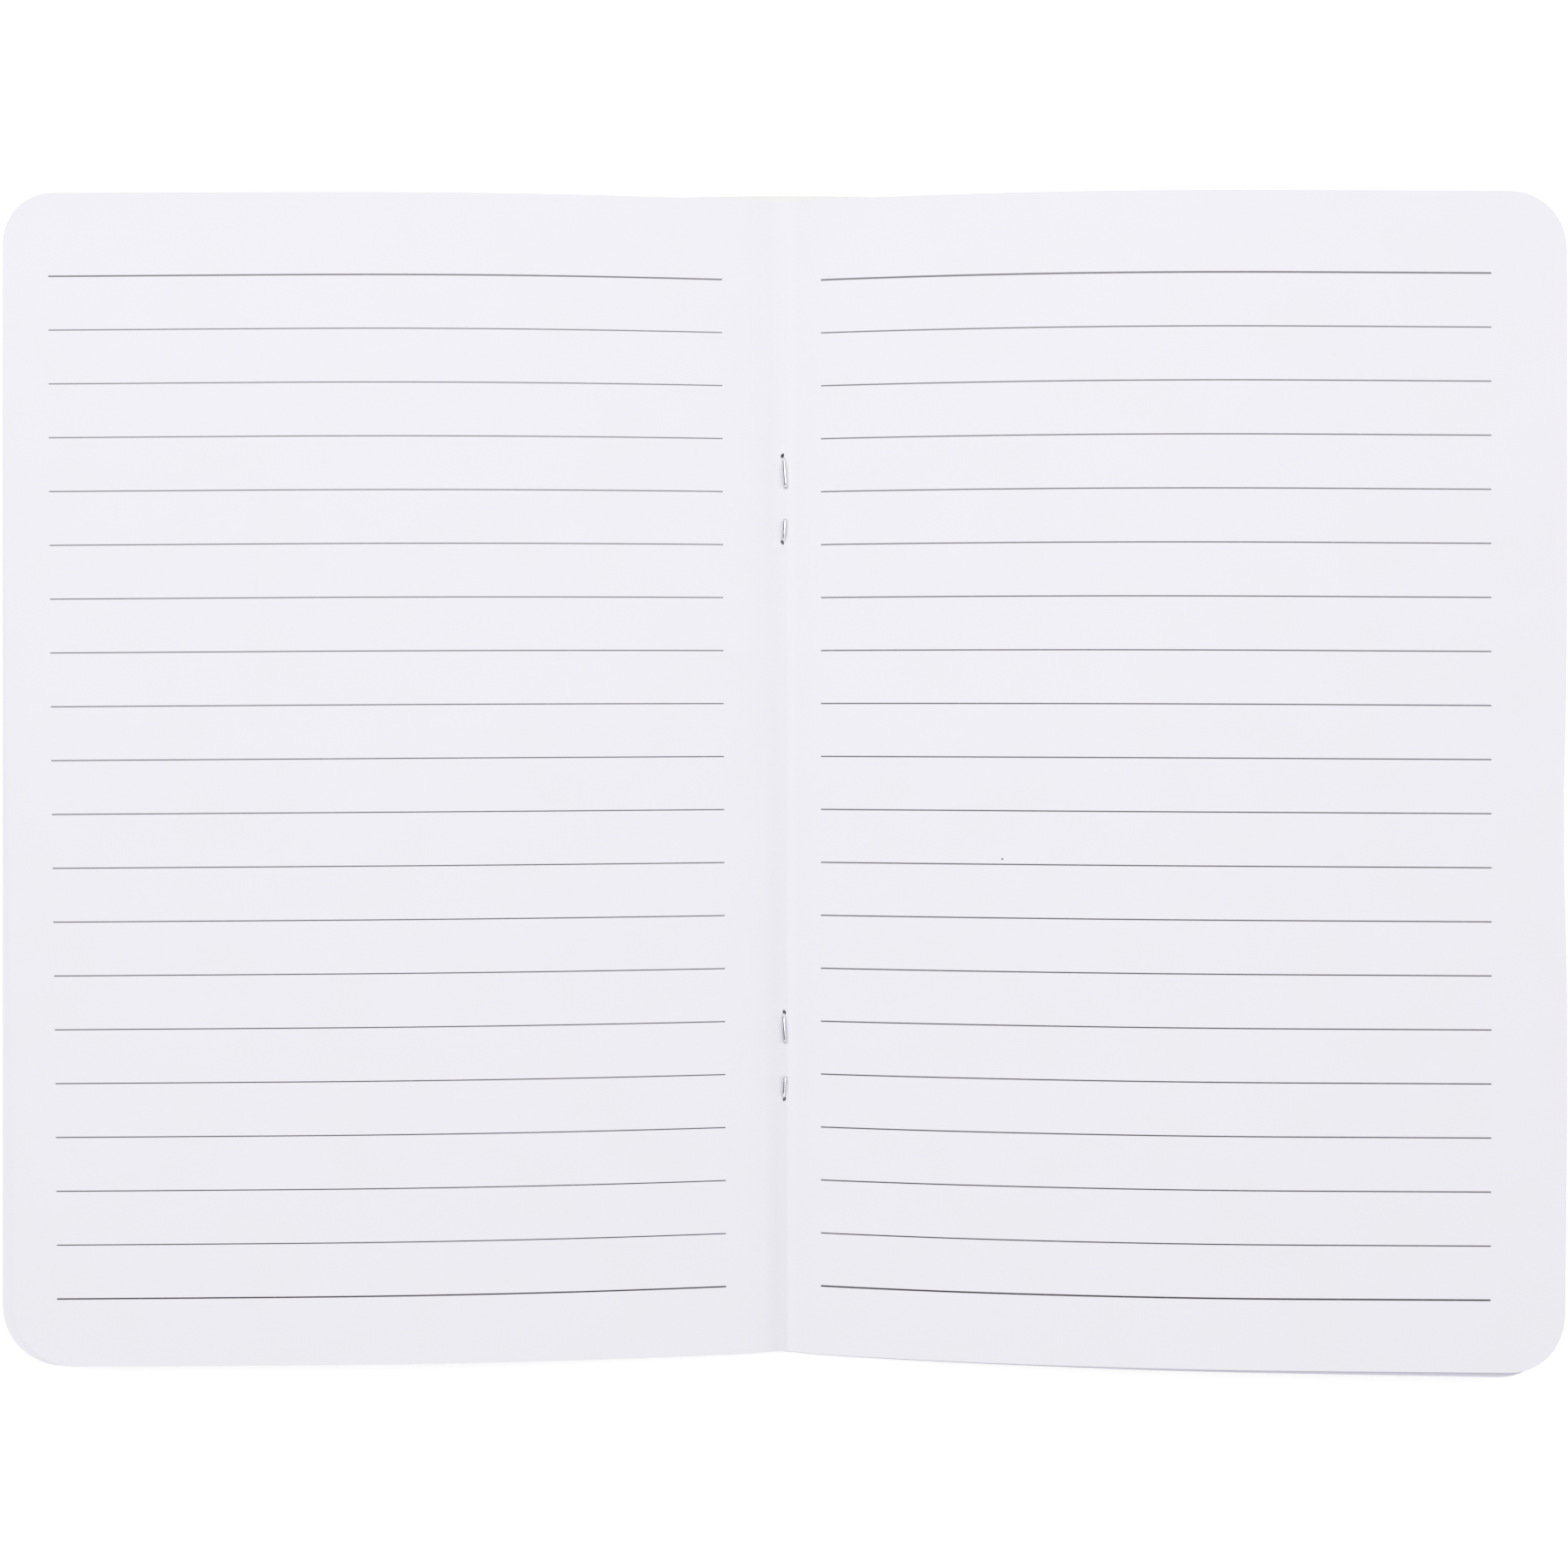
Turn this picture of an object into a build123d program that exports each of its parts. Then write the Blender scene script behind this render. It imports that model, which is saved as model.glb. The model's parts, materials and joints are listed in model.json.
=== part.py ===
"""Stapled exercise book, lying open at its centre spread.

Frame: millimetres. X runs across the spread, with the left-hand page at -X. Y runs along the fold,
with the head at +Y. Z is up. The origin is on the table, under the middle of the fold.

Sixteen folded sheets lie inside a folded card cover, and two wire staples hold them at the fold.
Every folded piece is a narrow fold strip with a flap hinged along each of its edges. Sheet 1 is the
innermost. Each further sheet lies one step lower and has a fold strip one step wider on each side,
so the flaps stand side by side when the book is closed. It is also a little wider than the sheet inside
it, as the folded book is cut at its outer edge in one go.
"""

from build123d import *

import math
import os

# Leaves
page_width = 101.6
page_height = 152.4
head_corner_radius = 6.9
tail_corner_radius = 7.8
sheet_count = 16
paper_thickness = 0.10
sheet_air = 0.02
fore_edge_step = 0.05
right_leaf_trim = 0.35
second_leaf_skew = 0.5
left_leaf_drop = 0.45
right_head_drop = 0.55
right_tail_drop = 0.95

# Rise of the innermost leaf from the fold to where it runs level
left_rise = 5.0
right_rise = 6.0
curl_reach = 65.5

# Cover
cover_thickness = 0.25
head_overhang = 1.45
tail_overhang = 0.5
cover_ramp = 14.0

# Staples
wire_diameter = 0.5
staple_crown = 11.4
staple_tip_gap = 4.2
staple_inner_bend = 0.2
upper_staple_y = 36.8
lower_staple_y = -37.0
seat_gap = 0.02

# Fold strips and their hinge lines
hole_clearance = 0.1
hole_land = 0.25
hinge_clearance = 0.03

# Values that follow from the sizes above
wire_radius = wire_diameter / 2
hole_radius = wire_radius + hole_clearance
sheet_pitch = paper_thickness + sheet_air
leaf_hinge_gap = paper_thickness / 2 + hinge_clearance
cover_hinge_gap = cover_thickness / 2 + hinge_clearance
first_hinge_x = hole_radius + hole_land + leaf_hinge_gap
page_head_y = page_height / 2
page_tail_y = -page_height / 2
cover_head_y = page_head_y + head_overhang
cover_tail_y = page_tail_y - tail_overhang
cover_step = paper_thickness / 2 + sheet_air + cover_thickness / 2
cover_spine_z = wire_diameter + seat_gap + cover_thickness / 2
cover_flat_z = cover_thickness / 2
staple_places = {"upper_staple": upper_staple_y, "lower_staple": lower_staple_y}
sides = {"left": -1, "right": 1}
side_rise = {"left": left_rise, "right": right_rise}
side_drops = {"left": (left_leaf_drop, left_leaf_drop), "right": (right_head_drop, right_tail_drop)}


def sheet_hinge_x(number):
    """Distance of a sheet's hinge lines from the middle of the fold."""
    return first_hinge_x + (number - 1) * sheet_pitch


def sheet_z(number):
    """Height of the middle of a sheet's thickness at the fold."""
    return cover_spine_z + cover_step + (sheet_count - number) * sheet_pitch


def leaf_reach(number):
    """Flat distance from a sheet's hinge line to its outer edge, before any trim of one side."""
    return page_width - first_hinge_x + (number - 1) * fore_edge_step


def leaf_trim(number, side_name):
    """Length that a right-hand leaf under the first one falls short of its left-hand leaf."""
    if number == 1 or side_name == "left":
        return 0.0
    return right_leaf_trim


def leaf_skew(number, side_name):
    """Small turn of a right-hand leaf in its own plane, in degrees. It dies away down the stack."""
    if number == 1 or side_name == "left":
        return 0.0
    golden_angle = math.pi * (3 - math.sqrt(5))
    share = (1 + math.cos(golden_angle * (number - 2))) / 2
    return -second_leaf_skew * share / (number - 1)


cover_hinge_x = sheet_hinge_x(sheet_count) + cover_step
cover_outer_x = cover_hinge_x + leaf_reach(sheet_count)


def spread_plan(outer_x, head_y, tail_y, drops, skew):
    """Tall prism over the outline of an opened sheet, both flaps together, with rounded corners.

    The outer corners lie lower than the fold, towards the tail, by the drops of head and tail. The skew
    turns the outline about the head of the fold.
    """
    head_drop, tail_drop = drops
    outline = Polygon(
        (0, head_y),
        (-outer_x, head_y - head_drop),
        (-outer_x, tail_y - tail_drop),
        (0, tail_y),
        (outer_x, tail_y - tail_drop),
        (outer_x, head_y - head_drop),
        align=None,
    )
    for half, radius in ((1, head_corner_radius), (-1, tail_corner_radius)):
        corners = outline.vertices().filter_by(lambda corner: abs(corner.X) > radius)
        outline = fillet(corners.filter_by(lambda corner: corner.Y * half > 0), radius)
    turn = Pos(0, head_y, 0) * Rot(Z=skew) * Pos(0, -head_y, 0)
    return turn * extrude(outline, page_width, both=True)


def leaf_profile(number, rise):
    """Section of a right-hand leaf: an arc that rises from the fold, then a level run."""
    inner_x = sheet_hinge_x(number)
    outer_x = inner_x + leaf_reach(number) + tail_corner_radius
    half = paper_thickness / 2
    low = sheet_z(number)
    high = low + rise
    radius = (curl_reach**2 + rise**2) / (2 * rise)
    slope = math.degrees(math.asin(curl_reach / radius))
    level_x = inner_x + curl_reach
    centre = (level_x, high - radius)
    top_arc = CenterArc(centre, radius + half, 90, slope)
    low_arc = CenterArc(centre, radius - half, 90, slope)
    top_run = Line((level_x, high + half), (outer_x, high + half))
    low_run = Line((level_x, high - half), (outer_x, high - half))
    outer_edge = Line(top_run @ 1, low_run @ 1)
    inner_edge = Line(top_arc @ 1, low_arc @ 1)
    return make_face([top_arc, top_run, outer_edge, low_run, low_arc, inner_edge])


def cover_profile():
    """Section of the back cover: a ramp from the fold down to the table, then a level run."""
    half = cover_thickness / 2
    ramp_end = cover_hinge_x + cover_ramp
    outer_x = cover_outer_x + tail_corner_radius
    middle_line = [
        (cover_hinge_x, cover_spine_z),
        (ramp_end, cover_flat_z),
        (outer_x, cover_flat_z),
    ]
    top = [(x, z + half) for x, z in middle_line]
    bottom = [(x, z - half) for x, z in reversed(middle_line)]
    return make_face(Polyline(top + bottom, close=True))


def flap(profile, plan, side):
    """Flap with the section of profile, cut to the outline of plan."""
    bar = extrude(Plane.XZ * profile, page_height, both=True)
    if side < 0:
        bar = mirror(bar, Plane.YZ)
    return bar & plan


def leaf(number, side_name):
    """One leaf of a sheet. Lower leaves rise less, down to the level cover.

    The outer edge is drawn in by the length that the curl takes up.
    """
    share = 1 - (number - 1) / sheet_count
    rise = share * side_rise[side_name]
    curl_take_up = 2 * rise**2 / (3 * curl_reach)
    outer_x = sheet_hinge_x(number) + leaf_reach(number) - leaf_trim(number, side_name) - curl_take_up
    drops = side_drops[side_name]
    plan = spread_plan(outer_x, page_head_y, page_tail_y, drops, leaf_skew(number, side_name))
    return flap(leaf_profile(number, rise), plan, sides[side_name])


def cover_flap(side_name):
    """The front cover lies under the left-hand leaves, and the back cover under the right-hand ones."""
    plan = spread_plan(cover_outer_x, cover_head_y, cover_tail_y, (0, 0), 0)
    return flap(cover_profile(), plan, sides[side_name])


def fold_strip(half_width, head_y, tail_y, thickness, middle_z):
    """Strip along the fold, with a round hole for each staple leg."""
    middle_y = (head_y + tail_y) / 2
    strip = Pos(0, middle_y, middle_z) * Box(2 * half_width, head_y - tail_y, thickness)
    for staple_y in staple_places.values():
        for leg_y in (staple_y - staple_crown / 2, staple_y + staple_crown / 2):
            strip -= Pos(0, leg_y, middle_z) * Cylinder(hole_radius, 2 * thickness)
    return strip


def sheet_fold(number):
    """Fold strip of one sheet."""
    half_width = sheet_hinge_x(number) - leaf_hinge_gap
    return fold_strip(half_width, page_head_y, page_tail_y, paper_thickness, sheet_z(number))


def cover_spine():
    """Fold strip of the cover, which lies on the staple crowns."""
    half_width = cover_hinge_x - cover_hinge_gap
    return fold_strip(half_width, cover_head_y, cover_tail_y, cover_thickness, cover_spine_z)


def staple(staple_y):
    """Wire with its crown on the table and its legs bent in, over the innermost sheet."""
    crown_z = wire_radius
    clinch_z = sheet_z(1) + paper_thickness / 2 + seat_gap + wire_radius
    leg_y = staple_crown / 2
    tip_y = staple_tip_gap / 2
    corners = [
        (tip_y, clinch_z),
        (leg_y, clinch_z),
        (leg_y, crown_z),
        (-leg_y, crown_z),
        (-leg_y, clinch_z),
        (-tip_y, clinch_z),
    ]
    route = Plane.YZ * FilletPolyline(*corners, radius=staple_inner_bend + wire_radius)
    section = Plane(origin=route @ 0, z_dir=route % 0) * Circle(wire_radius)
    return Pos(0, staple_y, 0) * sweep(section, route)


def all_pieces():
    """Every piece of the book by its name."""
    pieces = {}
    for number in range(1, sheet_count + 1):
        name = f"sheet_{number:02d}"
        pieces[f"{name}_fold"] = sheet_fold(number)
        for side_name in sides:
            pieces[f"{name}_{side_name}_leaf"] = leaf(number, side_name)
    pieces["front_cover"] = cover_flap("left")
    pieces["cover_spine"] = cover_spine()
    pieces["back_cover"] = cover_flap("right")
    for name, staple_y in staple_places.items():
        pieces[name] = staple(staple_y)
    return pieces


os.makedirs("parts", exist_ok=True)
for piece_name, piece in all_pieces().items():
    export_step(piece, f"parts/{piece_name}.step")
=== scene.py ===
"""Looks of a stapled exercise book that lies open at its centre spread.

Every mesh is shaped in millimetres and scaled to metres at the end. X runs across the spread, Y along
the fold towards the head, and Z up, as in the frame. A leaf or a cover is shaped as a flat blank on the
right-hand side, where its distance from the fold is called across and its place along the fold along.
"""

from __future__ import annotations

import json
import logging
import math
from collections.abc import Callable, Iterable, Mapping
from dataclasses import dataclass, field, replace
from enum import Enum

import bmesh
import bpy
from mathutils import Matrix, Vector, noise

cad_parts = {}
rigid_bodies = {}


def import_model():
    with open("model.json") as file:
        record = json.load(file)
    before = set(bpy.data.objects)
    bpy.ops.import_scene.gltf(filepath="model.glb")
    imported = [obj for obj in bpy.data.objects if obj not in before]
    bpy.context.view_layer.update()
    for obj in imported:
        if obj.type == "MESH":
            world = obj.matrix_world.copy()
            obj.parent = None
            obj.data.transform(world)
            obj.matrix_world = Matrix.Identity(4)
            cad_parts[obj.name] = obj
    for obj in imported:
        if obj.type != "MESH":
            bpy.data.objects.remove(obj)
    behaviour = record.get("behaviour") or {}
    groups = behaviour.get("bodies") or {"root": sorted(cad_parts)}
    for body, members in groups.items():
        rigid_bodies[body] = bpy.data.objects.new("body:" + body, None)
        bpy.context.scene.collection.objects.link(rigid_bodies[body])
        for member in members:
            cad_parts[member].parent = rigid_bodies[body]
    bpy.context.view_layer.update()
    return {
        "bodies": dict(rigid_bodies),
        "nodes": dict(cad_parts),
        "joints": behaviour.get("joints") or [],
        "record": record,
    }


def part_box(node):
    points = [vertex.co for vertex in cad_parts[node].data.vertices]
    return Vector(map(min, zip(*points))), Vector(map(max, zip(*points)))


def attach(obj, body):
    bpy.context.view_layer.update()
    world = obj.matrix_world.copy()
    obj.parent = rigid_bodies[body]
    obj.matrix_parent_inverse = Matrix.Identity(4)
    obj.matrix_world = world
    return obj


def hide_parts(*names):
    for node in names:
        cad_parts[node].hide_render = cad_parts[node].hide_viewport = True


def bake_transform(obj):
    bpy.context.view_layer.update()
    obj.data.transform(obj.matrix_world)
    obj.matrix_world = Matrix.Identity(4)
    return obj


LOG = logging.getLogger("exercise_book")

MM = 0.001
PRINT_MAP = "sheet_print"
PRINT_SCALE = 100.0
CUT_TOLERANCE = 1e-5

Colour = tuple[float, float, float]
Triple = tuple[float, float, float]
Point = tuple[float, float]
Span = tuple[float, float]

BLACK: Colour = (0.0, 0.0, 0.0)
WHITE: Colour = (1.0, 1.0, 1.0)
ACROSS: Triple = (1.0, 0.0, 0.0)
ALONG: Triple = (0.0, 1.0, 0.0)


class Side(Enum):
    """The two halves of the spread, with the sign of their X."""

    LEFT = -1
    RIGHT = 1

    @property
    def label(self) -> str:
        """Name of the half, as the frame's names have it."""
        return self.name.lower()

    @property
    def cover(self) -> str:
        """Node and body of the cover under this half."""
        return "front_cover" if self is Side.LEFT else "back_cover"


# Radii of the outer corners in millimetres, at the tail and at the head
TAIL_AND_HEAD_RADII: dict[Side, Span] = {Side.LEFT: (7.9, 6.3), Side.RIGHT: (7.2, 7.4)}


class Face(Enum):
    """Faces of a blank of paper or card, with their material index."""

    INNER = 0
    OUTER = 1
    RIM = 2


def smooth_share(value: float) -> float:
    """Share from 0 to 1 that starts and ends gently."""
    held = min(max(value, 0.0), 1.0)
    return held * held * (3 - 2 * held)


def even_steps(start: float, length: float, steps: int) -> list[float]:
    """Places that part a stretch into even steps, from its start to its end."""
    return [start + length * step / steps for step in range(steps + 1)]


class Tone:
    """A number that varies over a surface, for use in arithmetic."""

    def __init__(self, tree: FinishTree, socket: bpy.types.NodeSocket) -> None:
        """Wraps an output socket of the tree."""
        self.tree = tree
        self.socket = socket

    def _math(self, operation: str, *inputs: Tone | float) -> Tone:
        """Adds a Math node and returns its result."""
        node = self.tree.node("ShaderNodeMath", {"operation": operation}, dict(enumerate(inputs)))
        return Tone(self.tree, node.outputs[0])

    def __add__(self, other: Tone | float) -> Tone:
        """Sum."""
        return self._math("ADD", self, other)

    __radd__ = __add__

    def __sub__(self, other: Tone | float) -> Tone:
        """Difference."""
        return self._math("SUBTRACT", self, other)

    def __rsub__(self, other: float) -> Tone:
        """Difference from a number."""
        return self._math("SUBTRACT", other, self)

    def __mul__(self, other: Tone | float) -> Tone:
        """Product."""
        return self._math("MULTIPLY", self, other)

    __rmul__ = __mul__

    def __truediv__(self, other: Tone | float) -> Tone:
        """Quotient."""
        return self._math("DIVIDE", self, other)

    def __rtruediv__(self, other: float) -> Tone:
        """Quotient of a number by this value."""
        return self._math("DIVIDE", other, self)

    def __abs__(self) -> Tone:
        """Size without its sign."""
        return self._math("ABSOLUTE", self)

    def __gt__(self, other: Tone | float) -> Tone:
        """1 where this value is larger, else 0."""
        return self._math("GREATER_THAN", self, other)

    def __lt__(self, other: Tone | float) -> Tone:
        """1 where this value is smaller, else 0."""
        return self._math("LESS_THAN", self, other)

    def nearest_whole(self) -> Tone:
        """Nearest whole number."""
        return self._math("ROUND", self)

    def smaller(self, other: Tone | float) -> Tone:
        """Smaller of two values."""
        return self._math("MINIMUM", self, other)

    def larger(self, other: Tone | float) -> Tone:
        """Larger of two values."""
        return self._math("MAXIMUM", self, other)

    def ramp(self, low: Tone | float, high: Tone | float) -> Tone:
        """Smooth step between two values.

        Args:
            low: Value that gives 0.
            high: Value that gives 1, which may be the smaller one.

        Returns:
            The step.
        """
        inputs = {"Value": self, "From Min": low, "From Max": high}
        node = self.tree.node("ShaderNodeMapRange", {"interpolation_type": "SMOOTHSTEP"}, inputs)
        return Tone(self.tree, node.outputs[0])


class FinishTree:
    """Node tree of a material or of the world, which adds and links its nodes."""

    def __init__(self, owner: bpy.types.Material | bpy.types.World) -> None:
        """Empties the owner's node tree.

        Args:
            owner: The material or world that the nodes belong to.
        """
        owner.use_nodes = True
        self.tree = owner.node_tree
        self.tree.nodes.clear()

    def node(
        self, kind: str, settings: Mapping[str, object], inputs: Mapping[str | int, object]
    ) -> bpy.types.Node:
        """Adds one node.

        Args:
            kind: Type of the node.
            settings: The node's own properties, which are set first.
            inputs: A value or a link for each socket, by name or place.

        Returns:
            The new node.
        """
        made = self.tree.nodes.new(kind)
        for name, value in settings.items():
            setattr(made, name, value)
        for key, value in inputs.items():
            source = value.socket if isinstance(value, Tone) else value
            if isinstance(source, bpy.types.NodeSocket):
                self.tree.links.new(source, made.inputs[key])
            else:
                made.inputs[key].default_value = source
        return made

    def mix(self, share: Tone | float, low: object, high: object, kind: str = "MIX") -> bpy.types.NodeSocket:
        """Mixes two colours.

        Args:
            share: 0 for low and 1 for high.
            low: Colour or colour socket.
            high: Colour or colour socket.
            kind: Blend type of the node.

        Returns:
            The mixed colour's socket.
        """
        # The node's colours are its sockets 6 and 7 and its output 2
        colours = {}
        for place, colour in ((6, low), (7, high)):
            colours[place] = (*colour, 1.0) if isinstance(colour, tuple) else colour
        made = self.node("ShaderNodeMix", {"data_type": "RGBA", "blend_type": kind}, {0: share, **colours})
        return made.outputs[2]

    def print_place(self, shift: Triple = (0.0, 0.0, 0.0)) -> bpy.types.NodeSocket:
        """Place on the flat blank, in millimetres.

        Args:
            shift: Moves a pattern that uses the place.

        Returns:
            A vector socket: across, along and 0.
        """
        print_map = self.node("ShaderNodeUVMap", {"uv_map": PRINT_MAP}, {})
        inputs = {0: print_map.outputs[0], 1: (PRINT_SCALE,) * 3, 2: shift}
        return self.node("ShaderNodeVectorMath", {"operation": "MULTIPLY_ADD"}, inputs).outputs[0]

    def parts(self, vector: bpy.types.NodeSocket) -> tuple[Tone, Tone, Tone]:
        """Three parts of a vector."""
        split = self.node("ShaderNodeSeparateXYZ", {}, {0: vector})
        return tuple(Tone(self, socket) for socket in split.outputs)

    def mottle(self, vector: bpy.types.NodeSocket, scale: float, detail: float = 3.0) -> Tone:
        """Soft noise from 0 to 1.

        Args:
            vector: Where the noise is read.
            scale: Patches for each unit of the vector.
            detail: Octaves of finer noise.

        Returns:
            The noise.
        """
        made = self.node("ShaderNodeTexNoise", {}, {"Vector": vector, "Scale": scale, "Detail": detail})
        return Tone(self, made.outputs["Fac"])

    def stretched(self, vector: bpy.types.NodeSocket, stretch: Triple) -> bpy.types.NodeSocket:
        """Vector with each part multiplied by its own factor."""
        made = self.node("ShaderNodeVectorMath", {"operation": "MULTIPLY"}, {0: vector, 1: stretch})
        return made.outputs[0]

    def relief(self, height: Tone, depth: float, strength: float) -> bpy.types.NodeSocket:
        """Bump from a height.

        Args:
            height: Height from 0 to 1.
            depth: Depth of the relief in millimetres.
            strength: Share of the relief that shows.

        Returns:
            The normal's socket.
        """
        inputs = {"Height": height, "Distance": depth * MM, "Strength": strength}
        return self.node("ShaderNodeBump", {}, inputs).outputs[0]

    def surface(self, inputs: Mapping[str, object]) -> None:
        """Adds the shader and the output.

        Args:
            inputs: Values and links of the shader's sockets.
        """
        shader = self.node("ShaderNodeBsdfPrincipled", {}, inputs)
        self.node("ShaderNodeOutputMaterial", {}, {"Surface": shader.outputs[0]})


@dataclass(frozen=True)
class Feel:
    """Roughness, gloss and fine relief of a surface."""

    roughness: float
    relief_roughness: float
    depth: float
    strength: float
    gloss: float = 0.25
    metallic: float = 0.0

    def inputs(self, tree: FinishTree, height: Tone) -> dict[str, object]:
        """Values and links of the shader's sockets.

        Args:
            tree: Tree that gets the nodes.
            height: Height of the relief, from 0 to 1.

        Returns:
            A value or a link for each socket by its name.
        """
        return {
            "Metallic": self.metallic,
            "Roughness": height * self.relief_roughness + self.roughness,
            "Specular IOR Level": self.gloss,
            "Normal": tree.relief(height, self.depth, self.strength),
        }


@dataclass(frozen=True)
class Finish:
    """A finish with a material of its own."""

    name: str

    def material(self) -> bpy.types.Material:
        """Makes the material and dresses it.

        Returns:
            The new material.
        """
        made = bpy.data.materials.new(self.name)
        self.dress(FinishTree(made))
        return made

    def dress(self, tree: FinishTree) -> None:
        """Adds the finish's nodes to the tree."""
        raise NotImplementedError


@dataclass(frozen=True)
class Ruling:
    """Printed lines of one page, in millimetres on the flat leaf."""

    start: float
    end: float
    slant: float
    lean: float
    head_width: float
    tail_width: float
    border_ratio: float = 1.42
    pitch: float = 6.986
    count: int = 20
    first_along: float = 65.56
    soft_edge: float = 0.05

    def mask(self, tree: FinishTree, across: Tone, along: Tone) -> Tone:
        """Where the ink lies.

        Args:
            tree: Tree that gets the nodes.
            across: Distance from the fold.
            along: Place along the fold.

        Returns:
            1 on a line, 0 on bare paper.
        """
        row = (self.first_along - along - across * self.slant) / self.pitch
        number = row.nearest_whole().larger(0.0).smaller(self.count - 1.0)
        off_line = abs(row - number) * self.pitch
        from_middle = abs(number - (self.count - 1) / 2)
        is_border = from_middle > (self.count - 2) / 2
        width = number * ((self.tail_width - self.head_width) / (self.count - 1)) + self.head_width
        half_width = width * (is_border * (self.border_ratio - 1) + 1.0) / 2.0
        on_line = off_line.ramp(half_width + self.soft_edge, half_width - self.soft_edge)
        from_start = across - along * self.lean - self.start
        to_end = self.end - across
        past_start = from_start.ramp(-self.soft_edge, self.soft_edge)
        before_end = to_end.ramp(-self.soft_edge, self.soft_edge)
        return on_line * past_start * before_end


@dataclass(frozen=True)
class PaperFinish(Finish):
    """White uncoated writing paper with a cool tint, thin printed lines and a few dark fibres, and painted
    shade along the fold, beside the staple legs and, if given, along the tail edge.
    """

    ruling: Ruling
    shift: Triple
    # Width of the painted shade along the fold
    crease_reach: float
    flecks: tuple[Point, ...] = ()
    tips_along: tuple[float, ...] = ()
    # Tint of painted shade along the tail edge, for a leaf in the shadow of the leaf above; None leaves it
    # out
    tail_tint: Colour | None = None
    tint: Colour = (0.876, 0.866, 0.917)
    cloud_tint: Colour = (0.868, 0.861, 0.907)
    cloud_scale: float = 0.11
    cloud_range: Span = (0.3, 0.7)
    tooth_tint: Colour = (0.75, 0.75, 0.75)
    tooth_share: float = 0.05
    tooth_scale: float = 4.0
    tooth_detail: float = 4.0
    # Painted shade along the fold: its tint, the share of its width at full strength, and where it grows
    # from the head to the tail
    crease_tint: Colour = (0.945, 0.945, 0.95)
    crease_core: float = 0.25
    crease_head_along: float = 110.0
    crease_tail_along: float = -90.0
    # Painted shade beside the staple legs: its tint, its width from the fold, and where it starts past the
    # tips, stops before the holes and fades
    smudge_tint: Colour = (0.89, 0.885, 0.895)
    smudge_reach: float = 0.9
    smudge_near: float = 1.9
    smudge_far: float = 5.4
    smudge_fade: float = 0.7
    # Painted shade along the tail edge: the edge's place, where the shade starts and where it reaches full
    # strength
    tail_along: float = -76.2
    tail_reach: float = 1.4
    tail_core: float = 0.7
    fibre_tint: Colour = (0.60, 0.58, 0.60)
    fibre_stretch: Triple = (1.0, 0.55, 1.0)
    fibre_cell: float = 14.0
    fibre_radius: float = 0.09
    fibre_core: float = 0.4
    fibre_rarity: float = 0.82
    fibre_strength: float = 0.7
    ink: Colour = (0.048, 0.042, 0.052)
    head_ink_density: float = 0.74
    tail_ink_density: float = 1.0
    ink_fade_along: float = 80.0
    ink_patch_scale: float = 0.8
    ink_patch_range: Span = (0.2, 0.45)
    ink_patchiness: float = 0.1
    fleck_radius: float = 0.16
    feel: Feel = Feel(roughness=0.72, relief_roughness=0.12, depth=0.012, strength=0.35)

    def dress(self, tree: FinishTree) -> None:
        """Adds the finish's nodes to the tree.

        Args:
            tree: Empty tree of the material.
        """
        across, along, _ = tree.parts(tree.print_place())
        place = tree.print_place(self.shift)
        tooth = tree.mottle(place, self.tooth_scale, self.tooth_detail)
        paper = self.bare_paper(tree, place, tooth)
        # Painted shade along the fold, beside the staple legs and at the tail edge
        paper = self.marked_paper(tree, paper, across, along)
        paper = tree.mix(self.fibres(tree, place), paper, self.fibre_tint)
        inked = self.ruling.mask(tree, across, along) * self.ink_density(tree, place, along)
        for fleck_across, fleck_along in self.flecks:
            off_across = across - fleck_across
            off_along = along - fleck_along
            off_fleck = off_across * off_across + off_along * off_along
            inked = inked.larger(off_fleck.ramp(self.fleck_radius**2, 0.0))
        colour = tree.mix(inked, paper, self.ink)
        tree.surface({"Base Color": colour, **self.feel.inputs(tree, tooth)})

    def bare_paper(
        self, tree: FinishTree, place: bpy.types.NodeSocket, tooth: Tone
    ) -> bpy.types.NodeSocket:
        """Colour of the clean paper, with its faint clouds and tooth.

        Args:
            tree: Tree that gets the nodes.
            place: Place on the leaf, moved by the shift.
            tooth: Fine noise of the paper.

        Returns:
            The colour's socket.
        """
        clouds = tree.mottle(place, self.cloud_scale).ramp(*self.cloud_range)
        paper = tree.mix(clouds, self.tint, self.cloud_tint)
        return tree.mix(self.tooth_share, paper, tree.mix(tooth, self.tooth_tint, WHITE), "MULTIPLY")

    def marked_paper(
        self, tree: FinishTree, paper: bpy.types.NodeSocket, across: Tone, along: Tone
    ) -> bpy.types.NodeSocket:
        """Paints shade into the paper along the fold, beside the staple legs and, if a tint is given, along
        the tail edge.

        Args:
            tree: Tree that gets the nodes.
            paper: Colour of the clean paper.
            across: Distance from the fold.
            along: Place along the fold.

        Returns:
            The colour's socket.
        """
        # Painted shade along the fold, stronger towards the tail
        crease_shade = across.ramp(self.crease_reach, self.crease_reach * self.crease_core)
        crease_shade = crease_shade * along.ramp(self.crease_head_along, self.crease_tail_along)
        paper = tree.mix(crease_shade, paper, self.crease_tint, "MULTIPLY")
        # Painted shade beside the legs of each staple
        for tips_along in self.tips_along:
            smudge = self.smudge(across, abs(along - tips_along))
            paper = tree.mix(smudge, paper, self.smudge_tint, "MULTIPLY")
        # Painted shade along the tail edge
        if self.tail_tint:
            tail = along.ramp(self.tail_along + self.tail_reach, self.tail_along + self.tail_core)
            paper = tree.mix(tail, paper, self.tail_tint, "MULTIPLY")
        return paper

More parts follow.
